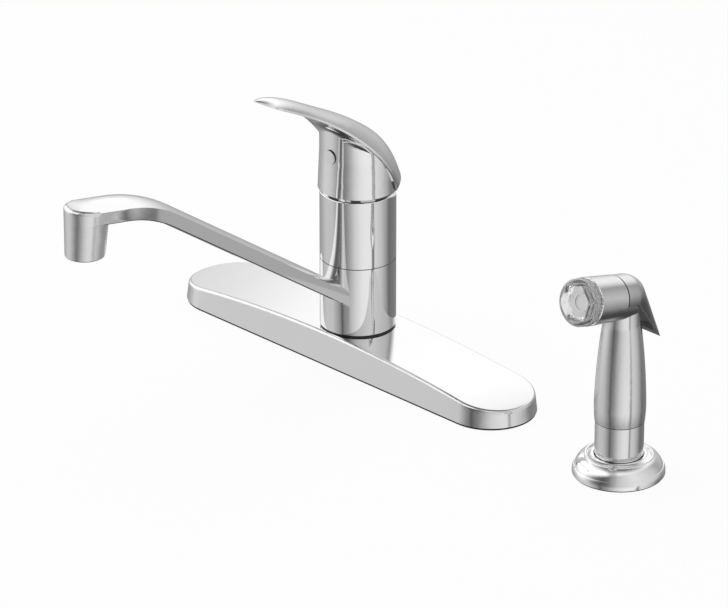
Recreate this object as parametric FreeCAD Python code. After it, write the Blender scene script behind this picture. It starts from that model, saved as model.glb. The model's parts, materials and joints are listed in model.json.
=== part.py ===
import FreeCAD
import Part
import math
import os

V = FreeCAD.Vector
ORIGIN = V(0, 0, 0)
AXIS_X = V(1, 0, 0)
AXIS_Z = V(0, 0, 1)

# Frame: origin on the body axis at the sink deck, +X along the plate towards the sprayer,
# -Y the way the spout points, +Z up. Sizes in millimetres, angles in degrees.

# Fits
RUNNING = 0.06
THREAD = 0.1
FILM = 0.05
SEAM = 0.4
LOOSE = 0.3

# Deck plate, its gasket and the carrier under it
PLATE_END = 28.4
PLATE_DEPTH = 52.0
PLATE_CROWN = 19.2
PLATE_ARCH = 9.0
PLATE_DRAFT = 2.4
PLATE_WALL = 2.5
PLATE_EDGE = 2.0
PAD_DEPTH = 0.3
BOSS_DEPTH = 5.0
GASKET_THICKNESS = 1.2
GASKET_INSET = 0.6
GASKET_BAND = 6.0
SUPPORT_LIFT = 2.4
SUPPORT_WEB = 3.0
SUPPORT_RIM = 2.5
TOWER_WALL = 1.6
STUD_SPACING = 203.2
STUD_TAP_RADIUS = 3.97
INSERT_RADIUS = 7.0
INSERT_HEIGHT = 9.5
INSERT_BOSS_WALL = 3.0
FLANGE_NUT_RADIUS = 19.4
FLANGE_NUT_HEIGHT = 5.5
NUT_NOTCH = 4.0

# Cartridge, which sets the width of the whole body
CARTRIDGE_RADIUS = 17.4
CUP_WALL = 1.95
BONNET_WALL = 1.89
CARTRIDGE_BASE = 4.0
DISC_THICKNESS = 4.0
FIXED_DISC_RADIUS = 15.4
MOVING_DISC_RADIUS = 11.4
DRIVER_HEIGHT = 7.9
DRIVER_HALF_WIDTH = 8.5
DRIVER_HALF_LENGTH = 8.0
RAIL_WIDTH = 2.4
DISC_REST = 2.0
CARRIER_FLANGE = 3.2
CARRIER_RADIUS = 10.8
CARRIER_STANDS = 0.5
HOUSING_WALL = 1.8
HOUSING_SHOULDER = 2.0
NECK_WALL = 2.1
NECK_HEIGHT = 7.5
CARTRIDGE_NUT_HEIGHT = 3.5
NUT_THREAD_STEP = 0.45
PORT_RADIUS = 3.4
SEAL_RING = 1.3
SEAL_DEPTH = 1.5
INLET_X = 7.4
INLET_Y = 4.6
OUTLET_Y = -8.6

# Valve body
SHANK_RADIUS = 15.5
SHANK_BOTTOM = 1.0
STEM_RADIUS = 16.5
CUP_FLOOR = 5.4
TAP_RADIUS = 4.5
TAP_DEPTH = 12.0
SEAL_SECTION = 1.05
SEAL_LAND = 6.5
DIVERTER_HEIGHT = 22.0
DIVERTER_RADIUS = 4.9
DIVERTER_WALL = 1.5
DIVERTER_LENGTH = 11.0
DIVERTER_INSET = 0.9
SPOOL_LENGTH = 6.5

# Swing spout
FOOT_RING = 1.2
RING_INSET = 0.6
HUB_HEIGHT = 40.0
HEAD_RING = 0.5
CHAMBER_DEPTH = 2.1
CHAMBER_LAND = 12.5
SPOUT_REACH = 201.1
SPOUT_CORNER = 160.4
SPOUT_ROOT = 13.9
SPOUT_RISE_ANGLE = 34.3
SPOUT_END_ANGLE = 10.0
SPOUT_BEND_RADIUS = 90.0
ARM_HALF_WIDTH = 12.0
ARM_HEIGHT = 7.2
ARM_CROWN = 2.7
ARM_EDGE = 0.6
ARM_WALL = 1.8
NOSE_TIP_RADIUS = 10.8
NOSE_DROP = 27.3
NOSE_LEAN = 1.8
NOSE_CROWN = -1.0
NOSE_STEP = 0.1
NOSE_ROUND = 2.4
NOSE_EDGE = 0.6
AERATOR_WALL = 1.4
AERATOR_RADIUS = 9.35
AERATOR_HEIGHT = 9.0
AERATOR_INSET = 0.6
SCREEN_THICKNESS = 2.0
SCREEN_HOLE = 0.9
WASHER_THICKNESS = 1.6
SWING = 60.0
STOP_PIN_RADIUS = 1.0
STOP_PIN_PLACE = 19.0
STOP_PIN_STANDS = 3.0

# Bonnet, which turns with the lever, and the seam they rock about
BONNET_HEIGHT = 39.9
BONNET_BEVEL = 0.4
SCOOP_PLACE = 3.0
SCOOP_ANGLE = 14.0
RIM_GAP = 0.7
RIM_BEVEL = 0.8
RIM_REAR = 6.5
PIVOT_BELOW_SEAM = 3.5
CAP_FLANGE = 1.0
CAP_PLATE = 1.5
CAP_HOLE = 9.5
TONGUE_LENGTH = 1.3
TONGUE_DEPTH = 1.7

# Lever handle, measured from the bonnet's ridge
HANDLE_HUB_FLARE = 1.0
HANDLE_NECK_RADIUS = 8.5
HANDLE_NECK_SLOPE = 40.0
HANDLE_NECK_PLACE = -18.2
HANDLE_NECK_HEIGHT = 39.5
HANDLE_NECK_RING = 25.0
HANDLE_NECK_FORWARD = 13.8
HANDLE_TOP = 50.0
HANDLE_CAVITY_RADIUS = 18.0
BLADE_EDGE = 1.2
NECK_INSIDE_BLADE = 0.88
INDEX_HEIGHT = 25.1
INDEX_RADIUS = 4.2
INDEX_DEPTH = 4.6
INDEX_PROUD = 0.9
SCREW_RADIUS = 2.5
STEM_SQUARE = 8.0
STEM_TOP = 31.5
STEM_LEG = 13.0
LEG_SQUARE = 4.0
BALL_RADIUS = 2.75
STEM_BARREL = 4.6
PIN_RADIUS = 1.5

# Lever blade: stations from the tip to the rear rim. Each gives the lower edge (forward of the body
# axis is negative, height above the ridge), half the width, and the crest over it.
LEVER_STATIONS = (
    (-77.4, 74.1, 0.9, -77.2, 74.7),
    (-74.4, 72.4, 4.0, -73.5, 74.6),
    (-69.5, 69.9, 7.2, -67.9, 73.7),
    (-61.3, 66.0, 9.7, -59.3, 71.1),
    (-48.6, 59.9, 11.2, -46.2, 65.3),
    (-36.5, 53.1, 13.5, -33.2, 58.7),
)
# Over the hub, half the width is the body's radius and this much more.
HOOD_STATIONS = (
    (-26.7, 46.4, -5.0, -21.9, 53.0),
    (-18.2, 39.5, -2.0, -11.6, 47.4),
    (-10.2, 31.8, 0.5, -1.5, 41.0),
    (-2.8, 23.5, 1.9, 8.4, 33.4),
    (3.8, 14.6, 2.0, 16.6, 23.1),
    (7.8, 7.2, 1.2, 21.7, 13.0),
    (11.3, -3.3, -0.8, 24.4, -3.2),
)
RIM_BALL_TOP = 9.0
RIM_BALL_RADIUS = 30.0
RIM_BALL_FORWARD = 6.0
RIM_BALL_HEIGHT = 17.3

# Side sprayer, standing in its base
SPRAY_X = 205.0
SPRAY_Y = -5.0
SPRAY_BASE_RADIUS = 25.1
SPRAY_BASE_HEIGHT = 11.6
BASE_RIM = 0.9
BASE_SKIRT = 4.4
BASE_SKIRT_DRAFT = 0.9
BASE_CREASE = 0.3
BASE_BULGE = 0.5
BASE_SHOULDER_RADIUS = 19.0
BASE_VALLEY = 0.9
BASE_LIP = 1.5
SPRAY_GASKET = 0.8
SPRAY_SEAT = 7.0
SPRAY_HOSE_HOLE = 9.5
COLLAR_RADIUS = 13.25
COLLAR_TOP = 31.3
COLLAR_FLOOR = 2.0
COLLAR_WALL = 2.8
COLLAR_GUIDE = 0.5
GRIP_FOOT_RADIUS = 13.5
GRIP_FOOT_BEVEL = 0.25
GRIP_SWELL_RADIUS = 14.0
GRIP_SWELL_HEIGHT = 41.0
GRIP_NECK_RADIUS = 10.2
GRIP_NECK_HEIGHT = 89.0
GRIP_MID_RADIUS = 12.5
GRIP_MID_HEIGHT = 68.5
GRIP_BORE = 6.0
NIPPLE_LENGTH = 11.0
HOSE_TAP_RADIUS = 4.6
HOSE_TAP_DEPTH = 11.0
FITTING_FLANGE = 2.0
HEAD_HEIGHT = 103.4
HEAD_TILT = 12.0
HEAD_RADIUS = 12.2
HEAD_FRONT_RADIUS = 13.1
HEAD_FRONT = 29.5
HEAD_CHAMBER_RADIUS = 9.5
NOZZLE_LENGTH = 8.2
NOZZLE_BEVEL = 2.2
NOZZLE_RECESS = 5.6
NOZZLE_MOUTH = 10.6
NOZZLE_FLOOR = 9.2
NOZZLE_SPIGOT = 5.0
NOZZLE_FACETS = 6
NOZZLE_RING_RADIUS = 5.2
NOZZLE_RING_WALL = 1.0
NOZZLE_CORE_LENGTH = 4.0
TRIGGER_SEAM = 8.4
TRIGGER_GAP = 0.65
TRIGGER_WALL = 2.0
TRIGGER_LIP = 1.3
TRIGGER_TAIL_ANGLE = 35.0
TRIGGER_TAIL_LENGTH = 33.2
TRIGGER_TAIL_TIP = 3.4
TRIGGER_TIP_SLANT = 0.5
NUB_FLAT = 0.4
TRIGGER_PRESS = 8.0
TRIGGER_PIVOT_Y = -5.6
TRIGGER_PIVOT_Z = 0.6
TRIGGER_PIN_RADIUS = 1.5
TRIGGER_LUG_HALF = 7.2
PLUNGER_ARM = 7.6
PLUNGER_RADIUS = 1.9
PLUNGER_BUTTON_RADIUS = 3.6
PLUNGER_BUTTON = 1.4
PLUNGER_HEAD_RADIUS = 4.0
PLUNGER_HEAD = 2.0
TOWER_RADIUS = 4.8
TOWER_TOP = 2.4
VALVE_CHAMBER_RADIUS = 4.8
VALVE_CHAMBER_ROOF = -4.2
VALVE_CHAMBER_FLOOR = -10.5
SPRING_RADIUS = 2.3
SPRING_WAVE = 0.7
SPRING_WALL = 0.4
SPRING_FOLDS = 6
SPRING_LENGTH = 3.4

# Heights and radii that follow from the sizes above
plate_length = STUD_SPACING + 2 * PLATE_END
bonnet_inner = CARTRIDGE_RADIUS + THREAD + CUP_WALL + RUNNING
cup_outer = bonnet_inner - RUNNING
cup_inner = CARTRIDGE_RADIUS + THREAD
nut_thread = cup_inner + NUT_THREAD_STEP
body_radius = bonnet_inner + BONNET_WALL
pad_z = PLATE_CROWN - PAD_DEPTH
boss_z = PLATE_CROWN - BOSS_DEPTH
hub_z0 = pad_z + FOOT_RING
hub_z1 = hub_z0 + HUB_HEIGHT
shoulder_z = hub_z1 + HEAD_RING
floor_z = shoulder_z + CUP_FLOOR
fixed_z = floor_z + CARTRIDGE_BASE
moving_z = fixed_z + DISC_THICKNESS + FILM
driver_z = moving_z + DISC_THICKNESS
flange_z = driver_z + DRIVER_HEIGHT + LOOSE
flange_top = flange_z + CARRIER_FLANGE
housing_top = flange_top + FILM + HOUSING_SHOULDER
neck_top = housing_top + NECK_HEIGHT
nut_top = housing_top + CARTRIDGE_NUT_HEIGHT
cap_z = nut_top + LOOSE
ridge_z = shoulder_z + BONNET_HEIGHT
rim_z = ridge_z + RIM_GAP
pivot_z = ridge_z - PIVOT_BELOW_SEAM
hub_bore = STEM_RADIUS + RUNNING
neck_bore = CARRIER_RADIUS + RUNNING
neck_outer = neck_bore + NECK_WALL
chamber_z0 = hub_z0 + CHAMBER_LAND
chamber_z1 = hub_z1 - CHAMBER_LAND + 4.0
diverter_z = hub_z0 + DIVERTER_HEIGHT
spray_place = V(SPRAY_X, SPRAY_Y, 0)
ports = (V(-INLET_X, INLET_Y, 0), V(INLET_X, INLET_Y, 0), V(0, OUTLET_Y, 0))


def slope(angle):
    return math.tan(math.radians(angle))


def cylinder(radius, z0, z1, x=0.0, y=0.0):
    return Part.makeCylinder(radius, z1 - z0, V(x, y, z0))


def ring(outer, inner, z0, z1):
    return cylinder(outer, z0, z1).cut(cylinder(inner, z0 - 1, z1 + 1))


def rod(radius, start, end):
    along = end.sub(start)
    return Part.makeCylinder(radius, along.Length, start, along)


def block(x0, x1, y0, y1, z0, z1):
    return Part.makeBox(x1 - x0, y1 - y0, z1 - z0, V(x0, y0, z0))


def outline(place, start, *moves):
    # A move is an end point for a line, or a pair of a point on the way and an end point for an arc.
    edges = []
    here = start
    for move in moves:
        if isinstance(move[0], tuple):
            via, end = move
            edges.append(Part.Arc(place(here), place(via), place(end)).toShape())
        else:
            end = move
            edges.append(Part.makeLine(place(here), place(end)))
        here = end
    if here != start:
        edges.append(Part.makeLine(place(here), place(start)))
    return Part.Wire(edges)


def turned(start, *moves):
    face = Part.Face(outline(lambda p: V(p[0], 0, p[1]), start, *moves))
    return face.revolve(ORIGIN, AXIS_Z, 360)


def prism(half_width, start, *moves):
    face = Part.Face(outline(lambda p: V(-half_width, p[0], p[1]), start, *moves))
    return face.extrude(V(2 * half_width, 0, 0))


def joined(first, *others):
    return first.multiFuse(list(others)).removeSplitter()


def stadium(length, depth, z):
    end = depth / 2
    run = length / 2 - end
    return outline(
        lambda p: V(p[0], p[1], z),
        (-run, -end),
        (run, -end),
        ((run + end, 0), (run, end)),
        (-run, end),
        ((-run - end, 0), (-run, -end)),
    )


def stadium_slab(length, depth, z0, z1):
    return Part.Face(stadium(length, depth, z0)).extrude(V(0, 0, z1 - z0))


def plate_form(inset, z0):
    # Drafted stadium under an arch that runs along the plate.
    top = PLATE_CROWN + 1
    lean = PLATE_DRAFT / PLATE_CROWN
    wires = []
    for z in (z0, top):
        narrower = 2 * (inset + lean * z)
        wires.append(stadium(plate_length - narrower, PLATE_DEPTH - narrower, z))
    walls = Part.makeLoft(wires, True, True)
    half = plate_length / 2
    radius = (half ** 2 + PLATE_ARCH ** 2) / (2 * PLATE_ARCH)
    end_z = PLATE_CROWN - radius + math.sqrt((radius - inset) ** 2 - half ** 2)
    arch = Part.Face(outline(
        lambda p: V(p[0], -PLATE_DEPTH, p[1]),
        (-half, z0),
        (half, z0),
        (half, end_z),
        ((0, PLATE_CROWN - inset), (-half, end_z)),
    )).extrude(V(0, 2 * PLATE_DEPTH, 0))
    return walls.common(arch)


def deck_plate():
    outer = plate_form(0, GASKET_THICKNESS)
    crest = [f for f in outer.Faces if f.CenterOfMass.z > PLATE_CROWN - PLATE_ARCH / 2]
    outer = outer.makeFillet(PLATE_EDGE, crest[0].Edges)
    inner = plate_form(PLATE_WALL, GASKET_THICKNESS - 1)
    shell = outer.cut(inner)
    boss = cylinder(tower_radius(), boss_z, pad_z).common(outer)
    shell = joined(shell, boss)
    shell = shell.cut(cylinder(body_radius + RIM_GAP, pad_z, PLATE_CROWN + 1))
    shell = shell.cut(cylinder(SHANK_RADIUS + THREAD, 0, PLATE_CROWN + 1))
    return shell.cut(cylinder(STOP_PIN_RADIUS + FILM, boss_z - 1, PLATE_CROWN + 1, 0, STOP_PIN_PLACE))


def deck_gasket():
    inset = 2 * GASKET_INSET
    outer = stadium_slab(plate_length - inset, PLATE_DEPTH - inset, 0, GASKET_THICKNESS)
    narrower = 2 * (GASKET_INSET + GASKET_BAND)
    return outer.cut(stadium_slab(plate_length - narrower, PLATE_DEPTH - narrower, -1, GASKET_THICKNESS + 1))


def tower_radius():
    return FLANGE_NUT_RADIUS + SEAM + TOWER_WALL


def support_plate():
    web_z = GASKET_THICKNESS + SUPPORT_LIFT
    lean = PLATE_DRAFT / PLATE_CROWN
    narrower = 2 * (PLATE_WALL + LOOSE + lean * (web_z + SUPPORT_WEB))
    length = plate_length - narrower
    depth = PLATE_DEPTH - narrower
    rim = stadium_slab(length, depth, GASKET_THICKNESS, web_z + SUPPORT_WEB)
    rim = rim.cut(stadium_slab(length - 2 * SUPPORT_RIM, depth - 2 * SUPPORT_RIM, 0, web_z))
    tower = cylinder(tower_radius(), web_z, boss_z)
    bosses = []
    for x in (-STUD_SPACING / 2, STUD_SPACING / 2):
        bosses.append(cylinder(INSERT_RADIUS + INSERT_BOSS_WALL, GASKET_THICKNESS, INSERT_HEIGHT, x))
    plate = joined(rim, tower, *bosses)
    nut_seat = web_z + FLANGE_NUT_HEIGHT
    plate = plate.cut(cylinder(FLANGE_NUT_RADIUS + SEAM, 0, nut_seat))
    plate = plate.cut(cylinder(SHANK_RADIUS + THREAD, 0, PLATE_CROWN))
    for x in (-STUD_SPACING / 2, STUD_SPACING / 2):
        plate = plate.cut(cylinder(INSERT_RADIUS + FILM, 0, INSERT_HEIGHT + 1, x))
    return plate


def stud_inserts():
    sleeves = []
    for x in (-STUD_SPACING / 2, STUD_SPACING / 2):
        sleeve = ring(INSERT_RADIUS, STUD_TAP_RADIUS, 0, INSERT_HEIGHT)
        sleeve.translate(V(x, 0, 0))
        sleeves.append(sleeve)
    return Part.makeCompound(sleeves)


def notched_ring(outer, inner, z0, z1):
    nut = ring(outer, inner, z0, z1)
    depth = (outer - inner) / 2
    for turn in range(4):
        notch = block(outer - depth, outer + 1, -NUT_NOTCH / 2, NUT_NOTCH / 2, z0 - 1, z1 + 1)
        notch.rotate(ORIGIN, AXIS_Z, 45 + 90 * turn)
        nut = nut.cut(notch)
    return nut


def flange_nut():
    z0 = GASKET_THICKNESS + SUPPORT_LIFT
    return notched_ring(FLANGE_NUT_RADIUS, SHANK_RADIUS + THREAD / 2, z0, z0 + FLANGE_NUT_HEIGHT)


def seal_heights():
    return (hub_z0 + SEAL_LAND, hub_z1 - SEAL_LAND + 2)


def seal_ring_radius():
    return hub_bore - FILM - SEAL_SECTION


def valve_body():
    body = joined(
        cylinder(SHANK_RADIUS, SHANK_BOTTOM, pad_z),
        cylinder(STEM_RADIUS, pad_z, shoulder_z),
        cylinder(cup_outer, shoulder_z, nut_top),
    )
    body = body.cut(cylinder(cup_inner, floor_z, housing_top))
    body = body.cut(cylinder(nut_thread, housing_top, nut_top + 1))
    for inlet in ports[:2]:
        body = body.cut(cylinder(PORT_RADIUS, SHANK_BOTTOM - 1, floor_z + 1, inlet.x, inlet.y))
        body = body.cut(cylinder(TAP_RADIUS, SHANK_BOTTOM - 1, SHANK_BOTTOM + TAP_DEPTH, inlet.x, inlet.y))
    body = body.cut(cylinder(PORT_RADIUS, SHANK_BOTTOM - 1, floor_z + 1, 0, OUTLET_Y))
    body = body.cut(cylinder(TAP_RADIUS, SHANK_BOTTOM - 1, SHANK_BOTTOM + TAP_DEPTH, 0, OUTLET_Y))
    pocket_end = -STEM_RADIUS + DIVERTER_INSET + DIVERTER_LENGTH
    pocket = rod(DIVERTER_RADIUS + FILM, V(0, -STEM_RADIUS - 1, diverter_z), V(0, pocket_end, diverter_z))
    body = body.cut(pocket)
    groove = SEAL_SECTION + FILM
    inner = seal_ring_radius() - groove
    for z in seal_heights():
        body = body.cut(ring(STEM_RADIUS + 1, inner, z - groove, z + groove))
    return body


def spout_seals():
    rings = []
    for z in seal_heights():
        rings.append(Part.makeTorus(seal_ring_radius(), SEAL_SECTION, V(0, 0, z)))
    return Part.makeCompound(rings)


def slip_ring(z0, z1):
    return ring(body_radius - RING_INSET, STEM_RADIUS + THREAD, z0, z1)


def foot_ring():
    hole = cylinder(STOP_PIN_RADIUS + FILM, pad_z - 1, hub_z0 + 1, 0, STOP_PIN_PLACE)
    return slip_ring(pad_z, hub_z0).cut(hole)


def spout_stop_pin():
    return cylinder(STOP_PIN_RADIUS, boss_z, hub_z0 + STOP_PIN_STANDS, 0, STOP_PIN_PLACE)


def diverter_body():
    start = -STEM_RADIUS + DIVERTER_INSET
    end = start + DIVERTER_LENGTH
    tube = rod(DIVERTER_RADIUS, V(0, start, diverter_z), V(0, end, diverter_z))
    inner = DIVERTER_RADIUS - DIVERTER_WALL
    bore = rod(inner, V(0, start - 1, diverter_z), V(0, end - DIVERTER_WALL, diverter_z))
    window = cylinder(PORT_RADIUS - 1, diverter_z - 10, diverter_z + 10, 0, OUTLET_Y)
    return tube.cut(bore).cut(window)


def diverter_spool():
    end = -STEM_RADIUS + DIVERTER_INSET + DIVERTER_LENGTH - DIVERTER_WALL - FILM
    radius = DIVERTER_RADIUS - DIVERTER_WALL - RUNNING
    spool = rod(radius, V(0, end - SPOOL_LENGTH, diverter_z), V(0, end, diverter_z))
    waist = ring(radius + 1, radius - 1, -SPOOL_LENGTH / 4, SPOOL_LENGTH / 4)
    waist.rotate(ORIGIN, AXIS_X, 90)
    waist.translate(V(0, end - SPOOL_LENGTH / 2, diverter_z))
    return spool.cut(waist)


def arm_section(half_width, low, high, crown, place, angle):
    lift = V(0, math.sin(math.radians(angle)), math.cos(math.radians(angle)))

    def on_section(p):
        return place.add(V(p[0], 0, 0)).add(lift * p[1])

    return outline(
        on_section,
        (ARM_EDGE - half_width, low),
        (half_width - ARM_EDGE, low),
        (half_width, low + ARM_EDGE),
        (half_width, high),
        ((0, high + crown), (-half_width, high)),
        (-half_width, low + ARM_EDGE),
    )


def along(angle):
    return V(0, -math.cos(math.radians(angle)), math.sin(math.radians(angle)))


def arm_form(half_width, low, high, crown, start, end):
    # The arm's upper side edge runs straight up, round one bend, and on to the nose.
    root = V(0, 0, hub_z0 + SPOUT_ROOT)
    rise = along(SPOUT_RISE_ANGLE)
    level = along(SPOUT_END_ANGLE)
    turn = SPOUT_RISE_ANGLE - SPOUT_END_ANGLE
    corner = root.add(rise * (SPOUT_CORNER / math.cos(math.radians(SPOUT_RISE_ANGLE))))
    tangent = SPOUT_BEND_RADIUS * slope(turn / 2)
    first = root.add(rise * start)
    bend = corner.sub(rise * tangent)
    after = corner.add(level * tangent)
    lift = V(0, math.sin(math.radians(SPOUT_RISE_ANGLE)), math.cos(math.radians(SPOUT_RISE_ANGLE)))
    centre = bend.sub(lift * SPOUT_BEND_RADIUS)
    section = (half_width, low, high, crown)
    straight = Part.Face(arm_section(*section, first, SPOUT_RISE_ANGLE)).extrude(bend.sub(first))
    curved = Part.Face(arm_section(*section, bend, SPOUT_RISE_ANGLE)).revolve(centre, AXIS_X, turn)
    run = level * ((end + after.y) / math.cos(math.radians(SPOUT_END_ANGLE)))
    # The crown sinks past flat on the way to the tip of the nose.
    steps = 6
    sections = []
    for step in range(steps + 1):
        part = step / steps
        sunk = crown - (crown - NOSE_CROWN) * part ** 2
        sections.append(arm_section(half_width, low, high, sunk, after.add(run * part), SPOUT_END_ANGLE))
    last = Part.makeLoft(sections, True, False)
    return joined(straight, curved, last)


def arm_edge_z(y):
    # Height of the arm's upper side edge at a place on its last straight run.
    corner_z = hub_z0 + SPOUT_ROOT + SPOUT_CORNER * slope(SPOUT_RISE_ANGLE)
    return corner_z + (y - SPOUT_CORNER) * slope(SPOUT_END_ANGLE)


nose_top = arm_edge_z(SPOUT_REACH)
nose_z = nose_top - NOSE_DROP
aerator_z = nose_z + AERATOR_INSET


def spout():
    hub = cylinder(body_radius, hub_z0, hub_z1)
    front = ARM_HALF_WIDTH + NOSE_STEP
    brow_y = NOSE_LEAN - SPOUT_REACH
    arm = arm_form(ARM_HALF_WIDTH, -ARM_HEIGHT, 0, ARM_CROWN, 12, SPOUT_REACH + front + 1)
    beyond = block(-2 * front, 2 * front, brow_y - 2 * front, brow_y, 0, 2 * nose_top)
    beyond = beyond.cut(cylinder(front, -1, 2 * nose_top + 1, 0, brow_y))
    arm = arm.cut(beyond)
    high = [e for e in arm.Edges if e.BoundBox.ZMin > nose_top - ARM_HEIGHT / 2]
    brow = [e for e in high if e.BoundBox.YMin < brow_y and e.BoundBox.XLength > ARM_HALF_WIDTH]
    arm = arm.makeFillet(NOSE_ROUND, brow)
    cone_top = nose_top - ARM_HEIGHT / 2
    lean = V(0, NOSE_LEAN, cone_top - nose_z)
    taper = front - NOSE_TIP_RADIUS
    below = V(0, -SPOUT_REACH, nose_z).sub(lean)
    nose = Part.makeCone(NOSE_TIP_RADIUS - taper, front, 2 * lean.Length, below, lean)
    nose = nose.common(block(-ARM_HALF_WIDTH, ARM_HALF_WIDTH, -2 * SPOUT_REACH, 0, nose_z, nose_top))
    nose = nose.makeFillet(NOSE_EDGE, [e for e in nose.Edges if e.BoundBox.ZMax < nose_z + 0.01])
    body = joined(hub, arm, nose)
    inner_width = ARM_HALF_WIDTH - ARM_WALL
    channel = arm_form(inner_width, ARM_WALL - ARM_HEIGHT, -ARM_WALL, ARM_CROWN, 20, SPOUT_REACH)
    body = body.cut(channel)
    body = body.cut(cylinder(hub_bore, hub_z0 - 1, hub_z1 + 1))
    body = body.cut(cylinder(STEM_RADIUS + CHAMBER_DEPTH, chamber_z0, chamber_z1))
    socket = AERATOR_RADIUS + THREAD
    socket_z = aerator_z + AERATOR_HEIGHT + WASHER_THICKNESS
    body = body.cut(cylinder(socket, nose_z - 1, socket_z, 0, -SPOUT_REACH))
    body = body.cut(cylinder(socket - AERATOR_WALL, nose_z, nose_top - ARM_WALL, 0, -SPOUT_REACH))
    half_groove = STOP_PIN_RADIUS + LOOSE
    spread = SWING + math.degrees(half_groove / STOP_PIN_PLACE) + 1
    profile = Part.Face(outline(
        lambda p: V(p[0], 0, p[1]),
        (STOP_PIN_PLACE - half_groove, hub_z0 - 1),
        (STOP_PIN_PLACE + half_groove, hub_z0 - 1),
        (STOP_PIN_PLACE + half_groove, hub_z0 + STOP_PIN_STANDS + LOOSE),
        (STOP_PIN_PLACE - half_groove, hub_z0 + STOP_PIN_STANDS + LOOSE),
    ))
    groove = profile.revolve(ORIGIN, AXIS_Z, 2 * spread)
    groove.rotate(ORIGIN, AXIS_Z, 90 - spread)
    return body.cut(groove)


def at_nose(shape):
    shape.translate(V(0, -SPOUT_REACH, 0))
    return shape


def aerator_housing():
    bore = AERATOR_RADIUS - AERATOR_WALL
    tube = ring(AERATOR_RADIUS, bore, aerator_z, aerator_z + AERATOR_HEIGHT)
    ledge = ring(AERATOR_RADIUS, bore - AERATOR_WALL, aerator_z + SCREEN_THICKNESS + AERATOR_INSET,
                 aerator_z + 2 * SCREEN_THICKNESS)
    return at_nose(joined(tube, ledge))


def aerator_screen():
    radius = AERATOR_RADIUS - AERATOR_WALL - FILM
    z0 = aerator_z + AERATOR_INSET
    screen = cylinder(radius, z0, z0 + SCREEN_THICKNESS)
    pitch = 3 * SCREEN_HOLE
    holes = []
    for row in range(1, int((radius - SCREEN_HOLE) / pitch) + 1):
        for step in range(6 * row):
            turn = 2 * math.pi * step / (6 * row)
            x = pitch * row * math.cos(turn)
            y = pitch * row * math.sin(turn)
            holes.append(cylinder(SCREEN_HOLE, z0 - 1, z0 + SCREEN_THICKNESS + 1, x, y))
    return at_nose(screen.cut(holes))


def aerator_washer():
    z0 = aerator_z + AERATOR_HEIGHT
    return at_nose(ring(AERATOR_RADIUS, AERATOR_RADIUS - 2 * AERATOR_WALL, z0, z0 + WASHER_THICKNESS))


def bonnet():
    sleeve = turned(
        (bonnet_inner, shoulder_z),
        (body_radius, shoulder_z),
        (body_radius, ridge_z - BONNET_BEVEL),
        (body_radius - BONNET_BEVEL, ridge_z),
        (bonnet_inner, ridge_z),
    )
    lip_z = cap_z + CAP_FLANGE
    sleeve = joined(sleeve, ring(body_radius - BONNET_BEVEL, nut_thread, lip_z, lip_z + CAP_FLANGE))
    reach = 2 * body_radius
    scoop = prism(
        reach,
        (SCOOP_PLACE, ridge_z),
        (reach, ridge_z - (reach - SCOOP_PLACE) * slope(SCOOP_ANGLE)),
        (reach, ridge_z + 1),
        (SCOOP_PLACE, ridge_z + 1),
    )
    return sleeve.cut(scoop)


def drive_cap():
    # Domed cap that joins the bonnet to the cartridge's carrier, with two tongues in the carrier's slot.
    carrier_top = neck_top + CARRIER_STANDS
    top = carrier_top + CAP_PLATE
    clear = neck_outer + LOOSE
    foot = bonnet_inner - THREAD
    dome = HANDLE_CAVITY_RADIUS - SEAM
    cap = turned(
        (CAP_HOLE, carrier_top),
        (CAP_HOLE, top),
        (clear, top),
        ((0.93 * dome, pivot_z + 0.13 * dome), (dome, cap_z + CAP_FLANGE)),
        (foot, cap_z + CAP_FLANGE),
        (foot, cap_z),
        (clear + 2 * CAP_PLATE, cap_z),
        (clear, cap_z + 2 * CAP_PLATE),
        (clear, carrier_top),
    )
    half_x = STEM_SQUARE / 2 + LOOSE - FILM
    end = slot_half() - FILM
    inside = end - TONGUE_LENGTH
    bridge = block(-half_x, half_x, -CAP_HOLE - 1, CAP_HOLE + 1, carrier_top, top)
    tongues = block(-half_x, half_x, -end, end, carrier_top - TONGUE_DEPTH, top)
    tongues = joined(bridge, tongues).cut(block(-half_x, half_x, -inside, inside, 0, top + 1))
    return joined(cap, tongues)


def slot_half():
    return CARRIER_RADIUS - NECK_WALL - 1


def cartridge_base():
    base = cylinder(CARTRIDGE_RADIUS, floor_z, fixed_z)
    for port in ports:
        base = base.cut(cylinder(PORT_RADIUS, floor_z - 1, fixed_z + 1, port.x, port.y))
        base = base.cut(cylinder(PORT_RADIUS + SEAL_RING, floor_z - 1, floor_z + SEAL_DEPTH, port.x, port.y))
    return base


def cartridge_seals():
    rings = []
    for port in ports:
        seal = ring(PORT_RADIUS + SEAL_RING - FILM, PORT_RADIUS, floor_z, floor_z + SEAL_DEPTH)
        seal.translate(port)
        rings.append(seal)
    return Part.makeCompound(rings)


def fixed_disc():
    disc = cylinder(FIXED_DISC_RADIUS, fixed_z, fixed_z + DISC_THICKNESS)
    for port in ports:
        disc = disc.cut(cylinder(PORT_RADIUS, fixed_z - 1, moving_z + 1, port.x, port.y))
    return disc


def moving_disc():
    disc = cylinder(MOVING_DISC_RADIUS, moving_z, driver_z, 0, DISC_REST)
    pocket = MOVING_DISC_RADIUS - PORT_RADIUS
    return disc.cut(cylinder(pocket, moving_z - 1, moving_z + DISC_THICKNESS / 2, 0, DISC_REST))


def disc_driver():
    top = driver_z + DRIVER_HEIGHT
    front = DISC_REST - DRIVER_HALF_LENGTH
    back = DISC_REST + DRIVER_HALF_LENGTH
    driver = block(-DRIVER_HALF_WIDTH, DRIVER_HALF_WIDTH, front, back, driver_z, top)
    half = BALL_RADIUS + LOOSE
    floor = pivot_z - STEM_LEG - half
    return driver.cut(block(-half, half, -half, half, floor, top + 1))


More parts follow.
